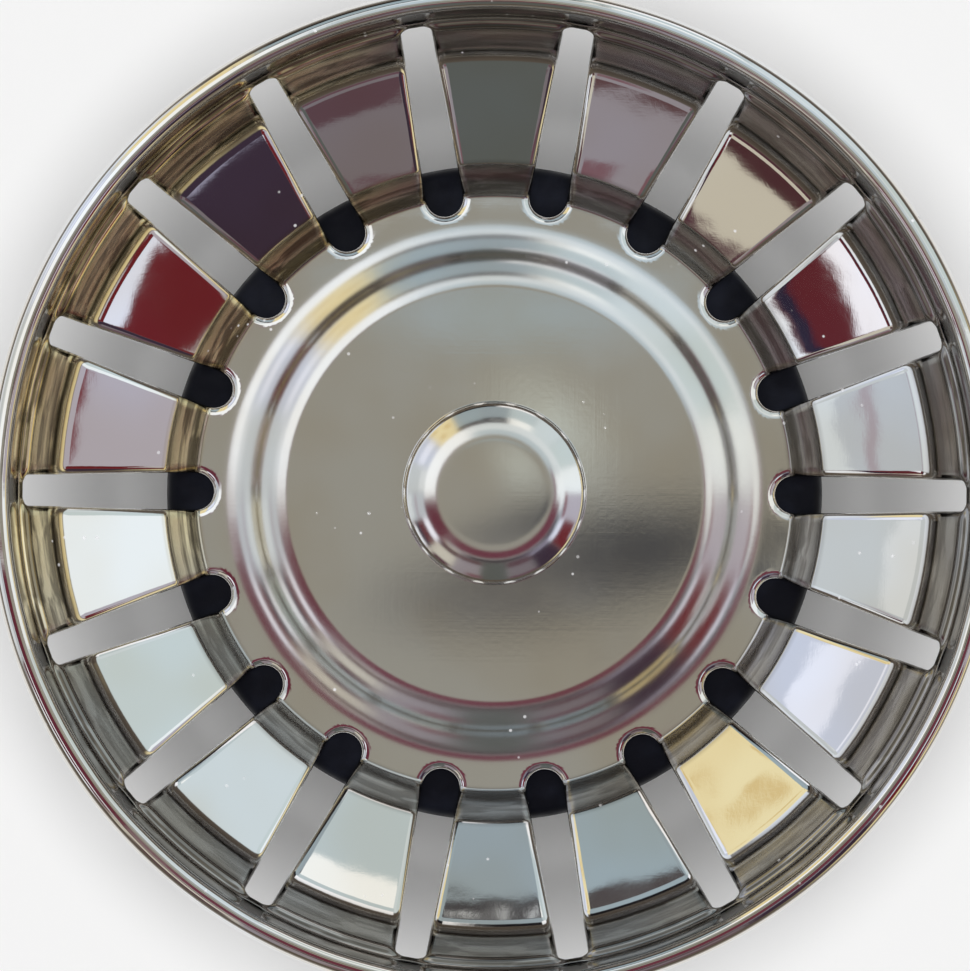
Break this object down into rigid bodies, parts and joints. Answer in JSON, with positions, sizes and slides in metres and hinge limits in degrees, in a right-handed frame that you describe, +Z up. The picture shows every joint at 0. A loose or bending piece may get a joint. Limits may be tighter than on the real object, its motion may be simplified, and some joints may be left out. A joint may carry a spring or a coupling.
{
  "type": "sink strainer",
  "caption": "Round polished steel basket strainer with a slotted bowl, a domed pull knob on a sliding stem, a rubber seal disc underneath and a sprung ball catch at its foot.",
  "frame": {"origin": "middle of the catch barrel's flat foot", "axes": "+Z up the stem towards the knob; +X along the catch's cross bore, through the middle of a slot; +Y is the top of the picture"},
  "size_m": [0.0794, 0.0794, 0.0396],
  "materials": {
    "polished_steel": "mirror-polished stainless steel with fine scratches",
    "turned_steel": "plain stainless steel, lightly turned or pressed",
    "black_rubber": "smooth moulded black rubber",
    "black_nylon": "satin black nylon",
    "brass": "machined brass"
  },
  "bodies": {
    "basket": {"basket": "polished_steel", "guide_bush": "black_nylon", "grip_ring": "black_rubber", "bush_washer": "turned_steel", "bush_nut": "brass"},
    "plug": {"stem": "turned_steel", "upper_plate": "turned_steel", "seal": "black_rubber", "lower_plate": "turned_steel", "lock_washer": "turned_steel", "jam_nut": "turned_steel", "catch_barrel": "brass", "catch_spring": "turned_steel", "knob_core": "turned_steel", "knob_cap": "polished_steel"},
    "left_ball": {"catch_ball_left": "turned_steel"},
    "right_ball": {"catch_ball_right": "turned_steel"}
  },
  "joints": [
    {"name": "plug_slide", "type": "slide", "parent": "basket", "child": "plug", "axis": [0, 0, 1], "range_m": [-0.005, 0]},
    {"name": "left_ball_slide", "type": "slide", "parent": "plug", "child": "left_ball", "axis": [1, 0, 0], "range_m": [0, 0.0007], "stiffness_N_per_m": 1500, "springref_m": -0.0004, "deforming": ["catch_spring"]},
    {"name": "right_ball_slide", "type": "slide", "parent": "plug", "child": "right_ball", "axis": [-1, 0, 0], "range_m": [0, 0.0007], "stiffness_N_per_m": 1500, "springref_m": -0.0004, "deforming": ["catch_spring"]}
  ]
}
